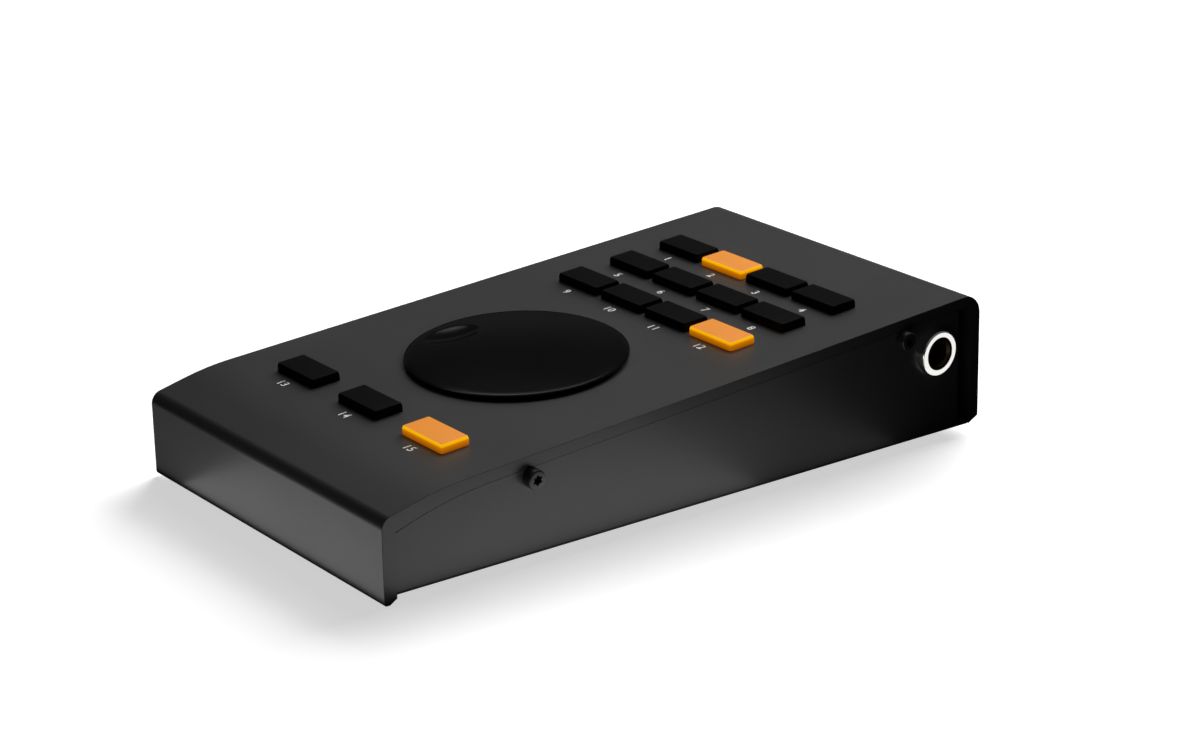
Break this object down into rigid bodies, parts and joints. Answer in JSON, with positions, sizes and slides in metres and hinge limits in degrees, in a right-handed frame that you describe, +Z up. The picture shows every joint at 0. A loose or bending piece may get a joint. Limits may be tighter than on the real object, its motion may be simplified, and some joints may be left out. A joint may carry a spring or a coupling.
{
  "type": "audio remote controller",
  "caption": "Wedge-shaped desktop remote controller for audio gear: a sloping deck with a large jog wheel and rows of lit keys, a plug jack in the side and a data socket in the back.",
  "frame": {"origin": "on the desk, under the middle of the body's length and width", "axes": "+X to the user's right, +Y to the back, +Z up from the desk"},
  "size_m": [0.1066, 0.1985, 0.0402],
  "materials": {
    "anodised_black": "fine satin black anodised",
    "coated_black": "fine satin black coat",
    "black_screw": "black oxide",
    "foot_rubber": "matte",
    "board_green": "solder mask",
    "pillar_brass": "machined",
    "plain_steel": "bright plated",
    "chip_black": "moulded",
    "switch_plastic": "moulded",
    "led_body": "clear resin",
    "encoder_metal": "plated can",
    "jack_plastic": "moulded",
    "bright_nickel": "polished plating",
    "sleeve_brass": "drawn",
    "lead_jacket": "wire jacket",
    "socket_plastic": "moulded",
    "wheel_black": "fine matte black",
    "key_black": "smoked, unlit",
    "key_lit": "smoked, lit amber from below",
    "plunger_plastic": "moulded"
  },
  "bodies": {
    "housing": {"top_cover": "anodised_black", "base_tray": "coated_black", "side_screws": "black_screw", "rubber_feet": "foot_rubber", "main_board": "board_green", "board_pillars": "pillar_brass", "board_screws": "plain_steel", "controller_chip": "chip_black", "switch_housings": "switch_plastic", "indicator_leds": "led_body", "encoder_body": "encoder_metal", "jack_body": "jack_plastic", "jack_bushing": "bright_nickel", "jack_sleeve": "sleeve_brass", "jack_washer": "bright_nickel", "jack_nut": "bright_nickel", "jack_leads": "lead_jacket", "data_socket_shell": "plain_steel", "data_socket_core": "socket_plastic"},
    "wheel": {"jog_wheel": "wheel_black", "encoder_shaft": "plain_steel"},
    "key_01": {"key_cap_01": "key_black", "key_plunger_01": "plunger_plastic"},
    "key_02": {"key_cap_02": "key_lit", "key_plunger_02": "plunger_plastic"},
    "key_03": {"key_cap_03": "key_black", "key_plunger_03": "plunger_plastic"},
    "key_04": {"key_cap_04": "key_black", "key_plunger_04": "plunger_plastic"},
    "key_05": {"key_cap_05": "key_black", "key_plunger_05": "plunger_plastic"},
    "key_06": {"key_cap_06": "key_black", "key_plunger_06": "plunger_plastic"},
    "key_07": {"key_cap_07": "key_black", "key_plunger_07": "plunger_plastic"},
    "key_08": {"key_cap_08": "key_black", "key_plunger_08": "plunger_plastic"},
    "key_09": {"key_cap_09": "key_black", "key_plunger_09": "plunger_plastic"},
    "key_10": {"key_cap_10": "key_black", "key_plunger_10": "plunger_plastic"},
    "key_11": {"key_cap_11": "key_black", "key_plunger_11": "plunger_plastic"},
    "key_12": {"key_cap_12": "key_lit", "key_plunger_12": "plunger_plastic"},
    "key_13": {"key_cap_13": "key_black", "key_plunger_13": "plunger_plastic"},
    "key_14": {"key_cap_14": "key_black", "key_plunger_14": "plunger_plastic"},
    "key_15": {"key_cap_15": "key_lit", "key_plunger_15": "plunger_plastic"}
  },
  "joints": [
    {"name": "wheel_turn", "type": "hinge", "parent": "housing", "child": "wheel", "pos_m": [0, -0.02125, 0.03201], "axis": [0, -0.0767, 0.9971], "continuous": true},
    {"name": "key_01_press", "type": "slide", "parent": "housing", "child": "key_01", "axis": [0, 0.0767, -0.9971], "range_m": [0, 0.0012], "stiffness_N_per_m": 300, "springref_m": -0.001},
    {"name": "key_02_press", "type": "slide", "parent": "housing", "child": "key_02", "axis": [0, 0.0767, -0.9971], "range_m": [0, 0.0012], "stiffness_N_per_m": 300, "springref_m": -0.001},
    {"name": "key_03_press", "type": "slide", "parent": "housing", "child": "key_03", "axis": [0, 0.0767, -0.9971], "range_m": [0, 0.0012], "stiffness_N_per_m": 300, "springref_m": -0.001},
    {"name": "key_04_press", "type": "slide", "parent": "housing", "child": "key_04", "axis": [0, 0.0767, -0.9971], "range_m": [0, 0.0012], "stiffness_N_per_m": 300, "springref_m": -0.001},
    {"name": "key_05_press", "type": "slide", "parent": "housing", "child": "key_05", "axis": [0, 0.0767, -0.9971], "range_m": [0, 0.0012], "stiffness_N_per_m": 300, "springref_m": -0.001},
    {"name": "key_06_press", "type": "slide", "parent": "housing", "child": "key_06", "axis": [0, 0.0767, -0.9971], "range_m": [0, 0.0012], "stiffness_N_per_m": 300, "springref_m": -0.001},
    {"name": "key_07_press", "type": "slide", "parent": "housing", "child": "key_07", "axis": [0, 0.0767, -0.9971], "range_m": [0, 0.0012], "stiffness_N_per_m": 300, "springref_m": -0.001},
    {"name": "key_08_press", "type": "slide", "parent": "housing", "child": "key_08", "axis": [0, 0.0767, -0.9971], "range_m": [0, 0.0012], "stiffness_N_per_m": 300, "springref_m": -0.001},
    {"name": "key_09_press", "type": "slide", "parent": "housing", "child": "key_09", "axis": [0, 0.0767, -0.9971], "range_m": [0, 0.0012], "stiffness_N_per_m": 300, "springref_m": -0.001},
    {"name": "key_10_press", "type": "slide", "parent": "housing", "child": "key_10", "axis": [0, 0.0767, -0.9971], "range_m": [0, 0.0012], "stiffness_N_per_m": 300, "springref_m": -0.001},
    {"name": "key_11_press", "type": "slide", "parent": "housing", "child": "key_11", "axis": [0, 0.0767, -0.9971], "range_m": [0, 0.0012], "stiffness_N_per_m": 300, "springref_m": -0.001},
    {"name": "key_12_press", "type": "slide", "parent": "housing", "child": "key_12", "axis": [0, 0.0767, -0.9971], "range_m": [0, 0.0012], "stiffness_N_per_m": 300, "springref_m": -0.001},
    {"name": "key_13_press", "type": "slide", "parent": "housing", "child": "key_13", "axis": [0, 0.0767, -0.9971], "range_m": [0, 0.0012], "stiffness_N_per_m": 300, "springref_m": -0.001},
    {"name": "key_14_press", "type": "slide", "parent": "housing", "child": "key_14", "axis": [0, 0.0767, -0.9971], "range_m": [0, 0.0012], "stiffness_N_per_m": 300, "springref_m": -0.001},
    {"name": "key_15_press", "type": "slide", "parent": "housing", "child": "key_15", "axis": [0, 0.0767, -0.9971], "range_m": [0, 0.0012], "stiffness_N_per_m": 300, "springref_m": -0.001}
  ]
}
